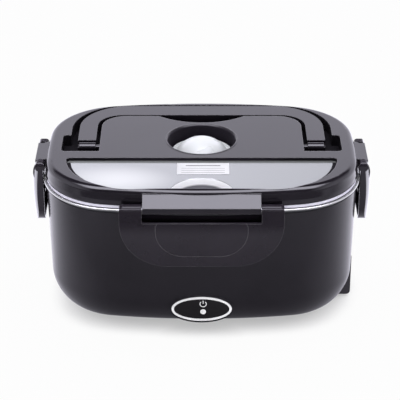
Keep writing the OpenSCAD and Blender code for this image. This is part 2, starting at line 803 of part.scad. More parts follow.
// Barrel-shaped solid of an end latch, set inwards by d.
module barrel(d) {
    low = flap_z - side_axis_z;
    translate([0, side_flap_r - side_flap_out, 0]) rotate_extrude($fn = 240) intersection() {
        translate([side_flap_r - flap_bow, bow_z - side_axis_z]) circle(flap_bow - d, $fn = 720);
        translate([0, low - 1]) square([60, 1 - low]);
    }
}

// End latch: its outer face is bowed in plan too, and its inner face follows the box.
module short_flap() {
    low = flap_z - side_axis_z;
    difference() {
        union() {
            difference() {
                intersection() {
                    rotate([90, 0, 0]) linear_extrude(20, center = true)
                        flap_outline(short_latch, 12, ear_short, knuckle_r, 3, side_axis_z);
                    union() {
                        difference() {
                            barrel(0);
                            translate([0, pin_out + bow_side_r, low - 1])
                                cylinder(h = 2 - low, r = bow_side_r + side_gap, $fn = arc_fine);
                        }
                        knuckles(short_latch, ear_short);
                    }
                }
                intersection() {
                    rotate([90, 0, 0]) linear_extrude(24, center = true) d_shape(short_latch - flap_rim,
                        low + flap_rim, window_z - flap_skin - side_axis_z, 12 - flap_rim);
                    barrel(flap_skin);
                }
            }
            hook_bar(20, 5.2, side_axis_z);
        }
        pin_bore(short_latch - 1.2, run_fit);
    }
}

module latch_front() { color(black) at_front() long_flap(); }
module latch_rear() { color(black) at_rear() long_flap(); }
module latch_left() { color(black) at_left() short_flap(); }
module latch_right() { color(black) at_right() short_flap(); }

// ---- handle and vent -----------------------------------------------------------------------

module carry_handle() {
    inner_x = handle_x - arm_w;
    color(black) {
        difference() {
            translate([0, 0, handle_top - handle_t]) linear_extrude(handle_t) difference() {
                arch(handle_x, handle_y, handle_r, barrel_y);
                arch(inner_x, handle_y - grip_w, 18, barrel_y - 10);
            }
            // room behind the barrels
            translate([-100, barrel_y - 1, barrel_z]) cube([200, 5.2, 10]);
        }
        for (s = [-1, 1]) translate([s * (inner_x + 0.2), barrel_y, barrel_z]) rotate([0, s * 90, 0])
            cylinder(h = arm_w - 1.4, r = barrel_r, $fn = 64);
        // stubs that turn in the walls of the island
        for (s = [-1, 1]) translate([s * (island_x - 4), barrel_y, barrel_z]) rotate([0, s * 90, 0])
            cylinder(h = 8, r = stub_r, $fn = 48);
    }
}

module vent_plug() {
    cap = 22;
    color([0.93, 0.94, 0.95]) translate([0, vent_y, 0]) difference() {
        union() {
            intersection() {
                translate([0, 0, lid_z + 0.3 - cap]) sphere(cap, $fn = fine);
                translate([0, 0, vent_floor + 0.1]) cylinder(h = 20, r = 21.6, $fn = fine);
            }
            translate([0, 0, vent_floor + 0.1]) cylinder(h = 1.4, r = 21.6, $fn = fine);
            translate([0, 0, skirt_z - 4.5]) cylinder(h = vent_floor - skirt_z + 4.9, r = 3.9, $fn = 48);
        }
        // hollow of the cap
        intersection() {
            translate([0, 0, lid_z + 0.3 - cap]) sphere(cap - 1.6, $fn = fine);
            translate([0, 0, vent_floor + 1.7]) cylinder(h = 20, r = 21, $fn = fine);
        }
    }
}

outer_casing();
inner_liner();
heating_plate();
ptc_heater();
heater_clamp();
clamp_screws();
thermostat();
thermal_fuse();
lead_wires();
inlet_shroud();
inlet_socket();
inlet_pins();
indicator_panel();
indicator_ring();
led_lens();
led_board();
base_cover();
base_screws();
rubber_feet();
food_container();
lid_shell();
lid_liner();
lid_seal();
lid_plate();
name_label();
latch_pins();
latch_front();
latch_rear();
latch_left();
latch_right();
carry_handle();
vent_plug();
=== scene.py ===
"""Portable electric lunch box: finishes, fine relief and a plain studio round the CAD frame."""

from __future__ import annotations

import logging
import math
from dataclasses import dataclass, field
from enum import Enum
from typing import Any, Sequence

import bmesh
import bpy
from mathutils import Matrix, Vector


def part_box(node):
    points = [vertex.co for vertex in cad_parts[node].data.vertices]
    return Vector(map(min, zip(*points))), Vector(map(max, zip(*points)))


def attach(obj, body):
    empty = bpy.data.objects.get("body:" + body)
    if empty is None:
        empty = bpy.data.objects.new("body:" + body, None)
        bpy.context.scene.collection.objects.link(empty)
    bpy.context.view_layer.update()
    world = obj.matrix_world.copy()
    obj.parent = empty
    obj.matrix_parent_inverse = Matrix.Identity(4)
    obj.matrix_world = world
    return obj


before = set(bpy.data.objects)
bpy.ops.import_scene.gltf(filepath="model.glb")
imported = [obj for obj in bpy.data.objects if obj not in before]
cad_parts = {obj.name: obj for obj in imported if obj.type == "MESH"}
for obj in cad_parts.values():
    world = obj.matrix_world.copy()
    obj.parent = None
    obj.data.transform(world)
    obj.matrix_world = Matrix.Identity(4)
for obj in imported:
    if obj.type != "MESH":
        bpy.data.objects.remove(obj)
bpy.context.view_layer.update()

logging.basicConfig(level=logging.INFO, format="%(message)s")
log = logging.getLogger("lunch_box")

MM = 0.001
PAGE_WHITE = 0.985
WHITE = (1.0, 1.0, 1.0)
Colour = tuple[float, float, float]
Point = tuple[float, float, float]
Span = tuple[float, float]
Line = Sequence[tuple[float, float]]
CLOUD: Span = (0.3, 0.7)


# ---- shader graphs -------------------------------------------------------------------------


class Sock:
    """One shader value. Arithmetic on it adds Math nodes to its material."""

    def __init__(self, shader: "Shader", link: bpy.types.NodeSocket) -> None:
        """Wraps an output socket.

        Args:
            shader: the material graph that the socket belongs to.
            link: the output socket itself.
        """
        self.shader, self.link = shader, link

    def _math(self, operation: str, first: Any, second: Any) -> "Sock":
        """Adds one Math node.

        Args:
            operation: the Math node's operation.
            first: the upper input, a Sock or a number.
            second: the lower input, a Sock or a number.

        Returns:
            The node's result.
        """
        return self.shader.add("ShaderNodeMath", {"operation": operation}, {0: first, 1: second})

    def __add__(self, other: Any) -> "Sock":
        """Sum."""
        return self._math("ADD", self, other)

    def __radd__(self, other: Any) -> "Sock":
        """Sum with the number on the left."""
        return self._math("ADD", other, self)

    def __sub__(self, other: Any) -> "Sock":
        """Difference."""
        return self._math("SUBTRACT", self, other)

    def __rsub__(self, other: Any) -> "Sock":
        """Difference with the number on the left."""
        return self._math("SUBTRACT", other, self)

    def __mul__(self, other: Any) -> "Sock":
        """Product."""
        return self._math("MULTIPLY", self, other)

    def __rmul__(self, other: Any) -> "Sock":
        """Product with the number on the left."""
        return self._math("MULTIPLY", other, self)

    def __pow__(self, other: Any) -> "Sock":
        """Power."""
        return self._math("POWER", self, other)

    def angle(self, other: Any) -> "Sock":
        """Angle in radians of the slope that rises by this value over a length of the other."""
        return self._math("ARCTAN2", self, other)

    def size(self) -> "Sock":
        """Value without its sign."""
        return self._math("ABSOLUTE", self, 0.0)

    def ramp(self, low: float, high: float, out_low: float = 0.0, out_high: float = 1.0) -> "Sock":
        """Maps a range on to another, held at its ends.

        Args:
            low: the value that gives out_low.
            high: the value that gives out_high.
            out_low: the first result.
            out_high: the last result.

        Returns:
            The mapped value.
        """
        return self.shader.add(
            "ShaderNodeMapRange", {"clamp": True},
            {"Value": self, "From Min": low, "From Max": high, "To Min": out_low, "To Max": out_high})


class Shader:
    """The node graph of one material or of the world."""

    def __init__(self, owner: Any) -> None:
        """Starts an empty graph.

        Args:
            owner: the material or world whose nodes it builds.
        """
        owner.use_nodes = True
        self.tree = owner.node_tree
        self.tree.nodes.clear()

    def node(self, kind: str, settings: dict[str, Any], values: dict[Any, Any]) -> bpy.types.Node:
        """Adds any node.

        Args:
            kind: the node's type.
            settings: its properties, set before its sockets.
            values: its inputs by name or number: a number, a colour, a Sock or a socket.

        Returns:
            The node.
        """
        made = self.tree.nodes.new(kind)
        for key, value in settings.items():
            setattr(made, key, value)
        for key, value in values.items():
            socket = made.inputs[key]
            if isinstance(value, Sock):
                self.tree.links.new(value.link, socket)
            elif isinstance(value, bpy.types.NodeSocket):
                self.tree.links.new(value, socket)
            elif isinstance(value, (tuple, list)) and socket.type == "RGBA" and len(value) == 3:
                socket.default_value = (*value, 1.0)
            else:
                socket.default_value = value
        return made

    def add(self, kind: str, settings: dict[str, Any], values: dict[Any, Any], out: Any = 0) -> Sock:
        """Adds any node and gives one of its outputs.

        Args:
            kind: the node's type.
            settings: its properties.
            values: its inputs.
            out: the output's name or number.

        Returns:
            The chosen output.
        """
        return Sock(self, self.node(kind, settings, values).outputs[out])

    def place(self, stretch: Point = (1.0, 1.0, 1.0)) -> Sock:
        """Position on the piece in metres, stretched along the axes."""
        here = self.add("ShaderNodeTexCoord", {}, {}, "Object")
        return self.add("ShaderNodeMapping", {"vector_type": "POINT"},
                        {"Vector": here, "Scale": stretch})

    def facing(self) -> Sock:
        """The way the surface faces, on the piece's own axes."""
        return self.add("ShaderNodeTexCoord", {}, {}, "Normal")

    def noise(self, scale: float, detail: float = 3.0, stretch: Point = (1.0, 1.0, 1.0)) -> Sock:
        """Fractal noise from 0 to 1.

        Args:
            scale: grains in a metre.
            detail: octaves.
            stretch: how much finer the grain is along each axis.

        Returns:
            The noise value.
        """
        return self.add("ShaderNodeTexNoise", {"noise_dimensions": "3D"}, {
            "Vector": self.place(stretch), "Scale": scale, "Detail": detail, "Roughness": 0.55})

    def mix(self, mask: Sock, first: Any, second: Any) -> Sock:
        """Blend of two colours by a mask."""
        return self.add("ShaderNodeMix", {"data_type": "RGBA", "blend_type": "MIX"},
                        {"Factor": mask, 6: first, 7: second}, 2)

    def parts(self, vector: Sock) -> tuple[Sock, Sock, Sock]:
        """The x, y and z of a vector."""
        split = self.node("ShaderNodeSeparateXYZ", {}, {0: vector})
        return tuple(Sock(self, split.outputs[axis]) for axis in "XYZ")

    def ray(self, kind: str) -> Sock:
        """One of the ray switches of the Light Path node."""
        return self.add("ShaderNodeLightPath", {}, {}, kind)

    def bump(self, height: Sock, strength: float, distance: float, edge: float = 0.0) -> Sock:
        """Surface relief, with an eased edge where asked.

        Args:
            height: the relief from 0 to 1.
            strength: how much of it shows.
            distance: what 1 stands for, in metres.
            edge: radius of the eased edges, in metres.

        Returns:
            The normal.
        """
        values: dict[Any, Any] = {"Height": height, "Strength": strength, "Distance": distance}
        if edge > 0.0:
            values["Normal"] = self.add("ShaderNodeBevel", {"samples": 6}, {"Radius": edge})
        return self.add("ShaderNodeBump", {}, values)

    def edges(self, width: float) -> Sock:
        """Mask of the crisp edges of a piece.

        Args:
            width: how far the mask reaches from the edge, in metres.

        Returns:
            1 along an edge and 0 away from it.
        """
        eased = self.add("ShaderNodeBevel", {"samples": 6}, {"Radius": width})
        true = self.add("ShaderNodeNewGeometry", {}, {}, "Normal")
        match = self.add("ShaderNodeVectorMath", {"operation": "DOT_PRODUCT"},
                         {0: eased, 1: true}, "Value")
        return match.ramp(0.995, 0.9)

    def surface(self, values: dict[str, Any], other: dict[str, Any] | None = None,
                mask: Sock | None = None) -> None:
        """Ends the graph in a Principled surface, or in a blend of two.

        Args:
            values: the inputs of the surface.
            other: the inputs of a second surface, where there is one.
            mask: where the second surface shows.
        """
        end = self.add("ShaderNodeBsdfPrincipled", {}, values)
        if other is not None:
            second = self.add("ShaderNodeBsdfPrincipled", {}, other)
            end = self.add("ShaderNodeMixShader", {}, {0: mask, 1: end, 2: second})
        self.node("ShaderNodeOutputMaterial", {}, {"Surface": end})


# ---- finishes ------------------------------------------------------------------------------


def shade(colour: Colour, share: float) -> Colour:
    """A share of a colour."""
    return tuple(c * share for c in colour)


@dataclass(frozen=True)
class MouldedPlastic:
    """Injection-moulded plastic with a faint orange peel and an uneven gloss.

    A painted highlight lightens the colour along its edges. Its tops can be matt, and so can the recesses
    that lie below a height and inside an oval; painted shade darkens the deepest of those.
    """

    name: str
    colour: Colour
    roughness: float
    unevenness: float = 0.04
    peel: float = 0.12
    peel_scale: float = 420.0
    peel_depth: float = 0.05 * MM
    edge: float = 0.4 * MM
    ior: float = 1.5
    # line: share of a painted highlight laid along the edges
    line: float = 0.0
    edge_highlight_width: float = 0.35 * MM
    edge_highlight_colour: Colour = (1.0, 0.97, 1.0)
    cloud_scale: float = 38.0
    cloud_tones: Span = (0.86, 1.1)
    speck_scale: float = 1900.0
    speck_span: Span = (0.68, 0.8)
    speck_dullness: float = 0.05
    matt_tops: bool = False
    matt_facing: Span = (0.55, 0.9)
    matt_share: float = 0.85
    matt_below: float = 0.0
    matt_fade: float = 0.4 * MM
    matt_half: Span = (101.0 * MM, 68.6 * MM)
    matt_roughness: float = 0.75
    matt_shine: float = 0.12
    # painted shade in the pockets at both ends: where it spreads along x, and its share of the colour
    deep_from: Span = (45.0 * MM, 65.0 * MM)
    pocket_shade_share: float = 0.2

    def _recessed(self, s: Shader) -> Sock:
        """Mask of the recesses in the top face, whose texture is matt.

        Args:
            s: the material's graph.

        Returns:
            1 in a recess and 0 on the glossy outside.
        """
        x, y, z = s.parts(s.place())
        across = (x.size() * (1.0 / self.matt_half[0])) ** 4.0
        along = (y.size() * (1.0 / self.matt_half[1])) ** 4.0
        below = z.ramp(self.matt_below + self.matt_fade, self.matt_below - self.matt_fade)
        return below * (across + along).ramp(1.0, 0.97)

    def _matt(self, s: Shader) -> dict[str, Any]:
        """Inputs of the matt texture, with painted shade that darkens the deep pockets at both ends.

        Args:
            s: the material's graph.

        Returns:
            The inputs of its surface.
        """
        tone = shade(self.colour, self.cloud_tones[0])
        if self.matt_below > 0.0:
            x = s.parts(s.place())[0]
            # painted shade darkens the pockets at both ends
            tone = s.mix(x.size().ramp(*self.deep_from), tone, shade(self.colour, self.pocket_shade_share))
        return {"Base Color": tone, "Roughness": self.matt_roughness, "Specular IOR Level": self.matt_shine}

    def material(self) -> bpy.types.Material:
        """Makes the material.

        Returns:
            The finished material.
        """
        made = bpy.data.materials.new(self.name)
        s = Shader(made)
        cloud = s.noise(self.cloud_scale, 4.0)
        fine = s.noise(self.peel_scale, 3.0)
        specks = s.noise(self.speck_scale, 2.0).ramp(*self.speck_span)
        dark, light = self.cloud_tones
        lighter = tuple(min(1.0, c * light + 0.001) for c in self.colour)
        tone = s.mix(cloud.ramp(*CLOUD), shade(self.colour, dark), lighter)
        # painted highlight: lightens the colour along the edges
        if self.line > 0.0:
            tone = s.mix(s.edges(self.edge_highlight_width) * self.line, tone, self.edge_highlight_colour)
        smooth, rough = self.roughness - self.unevenness, self.roughness + self.unevenness
        values = {
            "Base Color": tone,
            "Roughness": cloud.ramp(*CLOUD, smooth, rough) + specks * self.speck_dullness,
            "IOR": self.ior,
            "Normal": s.bump(fine, self.peel, self.peel_depth, self.edge),
        }
        if self.matt_below > 0.0:
            s.surface(values, self._matt(s), self._recessed(s))
        elif self.matt_tops:
            upward = s.parts(s.facing())[2]
            s.surface(values, self._matt(s), upward.ramp(*self.matt_facing, 0.0, self.matt_share))
        else:
            s.surface(values)
        return made


@dataclass(frozen=True)
class SteelSheet:
    """Stainless sheet: polished, or with the drawing lines of a pressed pan.

    The grain is stretched along the axes. A painted highlight has its x, y and reach; painted shade dulls
    the far end. Below the top of a bowl pressed into the sheet the steel is matt and pale, with painted
    shade dark at its bottom.
    """

    name: str
    colour: Colour
    roughness: float
    grain: Point = (1.0, 1.0, 1.0)
    grain_scale: float = 300.0
    relief: float = 0.1
    waviness: float = 0.0
    grain_depth: float = 0.03 * MM
    grain_dullness: float = 0.06
    cloud_scale: float = 22.0
    cloud_tone: float = 0.93
    wave_scale: float = 14.0
    edge: float = 0.2 * MM
    metallic: float = 1.0
    # painted highlight: x, y and reach of a lighter patch, with painted shade towards the other end
    painted_highlight_spot: tuple[float, float, float] | None = None
    spot_stretch: float = 0.55
    painted_highlight_colour: Colour = (0.6, 0.615, 0.6)
    painted_shade_half: float = 90.0 * MM
    painted_shade_share: float = 0.7
    bowl_top: float = 0.0
    bowl_edge: Span = (0.1 * MM, 0.4 * MM)
    # the bowl is pale near its top and darkens with painted shade over these depths
    bowl_shade_depth: Span = (3.2 * MM, 4.2 * MM)
    bowl_pale: Colour = (0.86, 0.86, 0.89)
    bowl_painted_shade: Colour = (0.1, 0.1, 0.11)
    bowl_roughness: float = 0.6

    def _below(self, z: Sock, depths: Span) -> Sock:
        """Mask that fills in between two depths under the bowl's top."""
        return z.ramp(self.bowl_top - depths[0], self.bowl_top - depths[1])

    def material(self) -> bpy.types.Material:
        """Makes the material.

        Returns:
            The finished material.
        """
        made = bpy.data.materials.new(self.name)
        s = Shader(made)
        grain = s.noise(self.grain_scale, 4.0, self.grain)
        cloud = s.noise(self.cloud_scale, 3.0)
        tone = s.mix(cloud.ramp(*CLOUD), shade(self.colour, self.cloud_tone), self.colour)
        # painted highlight and painted shade on the sheet
        if self.painted_highlight_spot is not None:
            tone = self._paint_reflection(s, tone)
        rough = cloud.ramp(*CLOUD, self.roughness * 0.85, self.roughness * 1.15)
        height = grain
        if self.waviness > 0.0:
            height = grain * (1.0 - self.waviness) + s.noise(self.wave_scale, 1.0) * self.waviness
        values = {
            "Base Color": tone,
            "Metallic": self.metallic,
            "Roughness": rough + (grain - 0.5) * self.grain_dullness,
            "Normal": s.bump(height, self.relief, self.grain_depth, self.edge),
        }
        if self.bowl_top > 0.0:
            z = s.parts(s.place())[2]
            # painted shade: the bowl darkens towards its bottom
            tone = s.mix(self._below(z, self.bowl_shade_depth), self.bowl_pale, self.bowl_painted_shade)
            shaded_bowl = {"Base Color": tone, "Roughness": self.bowl_roughness}
            s.surface(values, shaded_bowl, self._below(z, self.bowl_edge))
        else:
            s.surface(values)
        return made

    def _paint_reflection(self, s: Shader, tone: Sock) -> Sock:
        """Paints a highlight where the sheet is brightest, and paints shade that dulls it towards the other
        end.

        Args:
            s: the material's graph.
            tone: the sheet's own colour.

        Returns:
            The uneven colour.
        """
        spot_x, spot_y, reach = self.painted_highlight_spot
        x, y, _ = s.parts(s.place())
        away = (((x - spot_x) * self.spot_stretch) ** 2.0 + (y - spot_y) ** 2.0) * (1.0 / reach ** 2)
        shaded = s.mix(x.ramp(-self.painted_shade_half, self.painted_shade_half), tone, shade(self.colour, self.painted_shade_share))
        return s.mix(away.ramp(1.0, 0.0) ** 1.5, shaded, self.painted_highlight_colour)


@dataclass(frozen=True)
class Silicone:
    """Translucent silicone rubber with a matt bloom."""

    name: str
    colour: Colour
    roughness: float
    clear: float
    ior: float = 1.41
    unevenness: float = 0.05
    cloud_scale: float = 60.0
    cloud_tone: float = 0.95
    bloom: float = 0.08
    bloom_scale: float = 900.0
    bloom_depth: float = 0.04 * MM
    edge: float = 0.4 * MM

    def material(self) -> bpy.types.Material:
        """Makes the material.

        Returns:
            The finished material.
        """
        made = bpy.data.materials.new(self.name)
        s = Shader(made)
        cloud = s.noise(self.cloud_scale, 4.0)
        fine = s.noise(self.bloom_scale, 2.0)
        smooth, rough = self.roughness - self.unevenness, self.roughness + self.unevenness
        s.surface({
            "Base Color": s.mix(cloud.ramp(0.35, 0.65), shade(self.colour, self.cloud_tone), self.colour),
            "Roughness": cloud.ramp(*CLOUD, smooth, rough),
            "IOR": self.ior,
            "Transmission Weight": self.clear,
            "Normal": s.bump(fine, self.bloom, self.bloom_depth, self.edge),
        })
        return made


class Finish(Enum):
    """Every finish on the lunch box."""

    GLOSS_BLACK = MouldedPlastic("gloss_black", (0.0085, 0.0068, 0.01), 0.2, 0.02, 0.08, ior=1.47)
    # line: painted highlight along the edges; matt_below: matt recesses, with painted shade in the end
    # pockets
    LID_BLACK = MouldedPlastic("lid_black", (0.0105, 0.0085, 0.0125), 0.085, 0.015, 0.05, ior=1.47,
                               edge=0.6 * MM, line=0.1, edge_highlight_width=0.5 * MM, matt_below=114.1 * MM)
    # line: painted highlight along the edges
    SATIN_BLACK = MouldedPlastic("satin_black", (0.014, 0.011, 0.016), 0.13, 0.02, 0.08, ior=1.48,
                                 edge=0.8 * MM, line=0.12, matt_tops=True)
    # line: painted highlight along the edges
    HANDLE_BLACK = MouldedPlastic("handle_black", (0.011, 0.009, 0.013), 0.09, 0.015, 0.05, ior=1.47,
                                  edge=0.6 * MM, line=0.05)
    LINER_GREY = MouldedPlastic("liner_grey", (0.045, 0.045, 0.05), 0.4, 0.04, 0.2)
    SOCKET_BLACK = MouldedPlastic("socket_black", (0.03, 0.03, 0.032), 0.45, 0.04, 0.2)
    PANEL_BLACK = MouldedPlastic("panel_black", (0.007, 0.006, 0.007), 0.18, 0.02, 0.05, ior=1.4,
                                 edge=0.1 * MM)
    WHITE_RING = MouldedPlastic("white_ring", (0.95, 0.95, 0.95), 0.35, 0.03, 0.05, edge=0.1 * MM)
    LENS_WHITE = MouldedPlastic("lens_white", (0.93, 0.93, 0.93), 0.25, 0.02, 0.03, edge=0.15 * MM)
    LABEL_WHITE = MouldedPlastic("label_white", (0.66, 0.66, 0.68), 0.45, 0.03, 0.1, edge=0.05 * MM)
    RULE_GREY = MouldedPlastic("rule_grey", (0.12, 0.12, 0.13), 0.5, 0.03, 0.1, edge=0.02 * MM)
    BOARD_GREEN = MouldedPlastic("board_green", (0.02, 0.13, 0.05), 0.4, 0.04, 0.2)
    WIRE_RED = MouldedPlastic("wire_red", (0.35, 0.02, 0.02), 0.45, 0.04, 0.15)
    HEATER_WRAP = MouldedPlastic("heater_wrap", (0.55, 0.4, 0.16), 0.5, 0.06, 0.3)
    FOOT_RUBBER = MouldedPlastic("foot_rubber", (0.03, 0.03, 0.03), 0.75, 0.05, 0.5, 900.0)
    DARK_STEEL = SteelSheet("dark_steel", (0.12, 0.12, 0.13), 0.42)
    PLAIN_STEEL = SteelSheet("plain_steel", (0.6, 0.6, 0.62), 0.3)
    # painted highlight and shade on the window plate; painted shade at the bottom of its bowl
    WINDOW_STEEL = SteelSheet("window_steel", (0.42, 0.435, 0.435), 0.17, (1.0, 6.0, 1.0), 240.0, 0.05, 0.5,
                              metallic=0.6, painted_highlight_spot=(-59.0 * MM, -52.0 * MM, 24.0 * MM),
                              bowl_top=112.4 * MM)
    PAN_STEEL = SteelSheet("pan_steel", (0.55, 0.555, 0.545), 0.24, (1.0, 1.0, 9.0), 260.0, 0.12,
                           metallic=0.8)
    CAST_ALUMINIUM = SteelSheet("cast_aluminium", (0.66, 0.67, 0.68), 0.42, (1.0, 1.0, 1.0), 700.0, 0.3)
    BRASS = SteelSheet("brass", (0.62, 0.47, 0.2), 0.34)
    SEAL_GREY = Silicone("seal_grey", (0.86, 0.84, 0.95), 0.4, 0.1)
    PLUG_WHITE = Silicone("plug_white", (0.8, 0.82, 0.84), 0.3, 0.12)


class Paint:
    """Makes each finish once and puts it on pieces."""

    made: dict[Finish, bpy.types.Material] = {}

    @classmethod
    def of(cls, finish: Finish) -> bpy.types.Material:
        """Gives the material of a finish, made when first asked for.

        Args:
            finish: the finish.

        Returns:
            Its material.
        """
        if finish not in cls.made:
            cls.made[finish] = finish.value.material()
        return cls.made[finish]

    @classmethod
    def on(cls, piece: bpy.types.Object, finish: Finish) -> None:
        """Gives every slot of a piece one finish.

        Args:
            piece: the mesh object.
            finish: what it is made of.
        """
        slots = piece.data.materials
        if not slots:
            slots.append(cls.of(finish))
        for index in range(len(slots)):
            slots[index] = cls.of(finish)


# ---- meshes --------------------------------------------------------------------------------


class Mesh:
    """Ways of making the pieces that the frame leaves to the scene."""

    CRISP_FROM = math.radians(40.0)
    TOP_SHARE = 0.86

    @classmethod
    def piece(cls, name: str, data: bmesh.types.BMesh, finish: Finish, body: str,
              slot: str) -> bpy.types.Object:
        """Turns a finished bmesh into a piece that rides on a body.

        Args:
            name: the piece's name.
            data: its mesh, which is freed.
            finish: what it is made of.
            body: the CAD body that it moves with.
            slot: not used.

        Returns:
            The new object.
        """
        mesh = bpy.data.meshes.new(name)
        bmesh.ops.recalc_face_normals(data, faces=data.faces)
        data.to_mesh(mesh)
        data.free()
        made = bpy.data.objects.new(name, mesh)
        bpy.context.scene.collection.objects.link(made)
        mesh.shade_smooth()
        mesh.set_sharp_from_angle(angle=cls.CRISP_FROM)
        Paint.on(made, finish)
        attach(made, body)
        log.info("made %s on %s", name, body)
        return made

    @classmethod
    def ribbon(cls, data: bmesh.types.BMesh, line: Line, width: float, place: Matrix, height: float,
               closed: bool = False) -> None:
        """Adds a flat raised stroke along a line.

        Args:
            data: the mesh to add to.
            line: the stroke's centre line in its own plane, in metres.
            width: the stroke's width.
            place: where its plane stands; its own z is the way it is raised.
            height: how far it is raised.
            closed: whether the line joins up.
        """
        count = len(line)
        rings = []
        for i, (x, y) in enumerate(line):
            before = line[i - 1] if closed or i else line[i]
            after = line[(i + 1) % count] if closed or i < count - 1 else line[i]
            along = Vector((after[0] - before[0], after[1] - before[1], 0.0)).normalized()
            across = Vector((-along.y, along.x, 0.0)) * width / 2
            centre = Vector((x, y, 0.0))
            up = Vector((0.0, 0.0, height))
            top = across * cls.TOP_SHARE
            corners = (centre - across, centre + across, centre + top + up, centre - top + up)
            rings.append([data.verts.new(place @ c) for c in corners])
        for i in range(count if closed else count - 1):
            a, b = rings[i], rings[(i + 1) % count]
            for k in range(4):
                data.faces.new((a[k], a[(k + 1) % 4], b[(k + 1) % 4], b[k]))
        if not closed:
            data.faces.new(rings[0])
            data.faces.new(rings[-1])

    @staticmethod
    def band(data: bmesh.types.BMesh, outer: Line, inner: Line, low: float, high: float) -> None:
        """Adds a level band between two lines with as many points.

        Args:
            data: the mesh to add to.
            outer: the band's outer edge.
            inner: its inner edge.
            low: the height of its underside.
            high: the height of its top.
        """
        rings = [[data.verts.new((*at, z)) for at, z in ((a, low), (a, high), (b, high), (b, low))]
                 for a, b in zip(outer, inner)]
        for first, second in zip(rings, rings[1:]):
            for k in range(4):
                data.faces.new((first[k], first[(k + 1) % 4], second[(k + 1) % 4], second[k]))
        data.faces.new(rings[0])
        data.faces.new(rings[-1])


def arc(centre: Span, radius: float, first: float, last: float, steps: int) -> list[Span]:
    """Points on an arc, both ends included.

    Args:
        centre: its centre.
        radius: its radius.
        first: where it starts, in degrees.
        last: where it ends, in degrees.
        steps: how many chords it has.

    Returns:
        The points.
    """
    turn = [math.radians(first + (last - first) * i / steps) for i in range(steps + 1)]
    return [(centre[0] + radius * math.cos(t), centre[1] + radius * math.sin(t)) for t in turn]


# ---- sub-assemblies ------------------------------------------------------------------------


@dataclass
class Dressed:
    """A sub-assembly of the frame, with the finish of each of its nodes."""

    finishes: dict[str, Finish] = field(default_factory=dict)

    def dress(self) -> None:
        """Gives each node its finish."""
        for node, finish in self.finishes.items():
            Paint.on(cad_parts[node], finish)
            log.info("dressed %s in %s", node, finish.value.name)

    def build(self) -> None:
        """Dresses the nodes; a sub-assembly with pieces of its own adds them."""
        self.dress()


@dataclass
class Base(Dressed):
    """Casing, liner and underside."""

    finishes: dict[str, Finish] = field(default_factory=lambda: {
        "outer_casing": Finish.GLOSS_BLACK,
        "inner_liner": Finish.LINER_GREY,
        "base_cover": Finish.SATIN_BLACK,
        "base_screws": Finish.DARK_STEEL,
        "rubber_feet": Finish.FOOT_RUBBER,
    })


@dataclass
class Heater(Dressed):
    """Heating plate with what drives it."""

    finishes: dict[str, Finish] = field(default_factory=lambda: {
        "heating_plate": Finish.CAST_ALUMINIUM,
        "ptc_heater": Finish.HEATER_WRAP,
        "heater_clamp": Finish.CAST_ALUMINIUM,
        "clamp_screws": Finish.PLAIN_STEEL,
        "thermostat": Finish.SOCKET_BLACK,
        "thermal_fuse": Finish.BRASS,
        "lead_wires": Finish.WIRE_RED,
    })


@dataclass
class Inlet(Dressed):
    """Mains inlet at the right-hand end."""

    finishes: dict[str, Finish] = field(default_factory=lambda: {
        "inlet_shroud": Finish.SATIN_BLACK,
        "inlet_socket": Finish.SOCKET_BLACK,
        "inlet_pins": Finish.PLAIN_STEEL,
    })


@dataclass
class Indicator(Dressed):
    """Oval panel with its ring, light and standby sign."""

    sign_from_middle: Span = (1.05 * MM, 3.95 * MM)
    sign_radius: float = 2.2 * MM
    sign_turn: Span = (130.0, 410.0)
    sign_steps: int = 40
    bar_low: float = 0.2 * MM
    bar_past_ring: float = 0.5 * MM
    stroke: float = 0.6 * MM
    raised: float = 0.06 * MM
    bedded: float = 0.02 * MM
    finishes: dict[str, Finish] = field(default_factory=lambda: {
        "indicator_panel": Finish.PANEL_BLACK,
        "indicator_ring": Finish.WHITE_RING,
        "led_lens": Finish.LENS_WHITE,
        "led_board": Finish.BOARD_GREEN,
    })

    def build(self) -> None:
        """Dresses the nodes and prints the standby sign on the panel."""
        self.dress()
        low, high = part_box("indicator_panel")
        x = (low.x + high.x) / 2 + self.sign_from_middle[0]
        z = (low.z + high.z) / 2 + self.sign_from_middle[1]
        upright = Matrix.Rotation(math.radians(90), 4, "X")
        place = Matrix.Translation((x, low.y + self.bedded, z)) @ upright
        ring = arc((0.0, 0.0), self.sign_radius, *self.sign_turn, self.sign_steps)
        bar = [(0.0, self.bar_low), (0.0, self.sign_radius + self.bar_past_ring)]
        data = bmesh.new()
        for line in (ring, bar):
            Mesh.ribbon(data, line, self.stroke, place, self.raised)
        Mesh.piece("standby_sign", data, Finish.WHITE_RING, "base", "white_plastic")


@dataclass
class Container(Dressed):
    """Lift-out steel food container."""

    finishes: dict[str, Finish] = field(default_factory=lambda: {"food_container": Finish.PAN_STEEL})


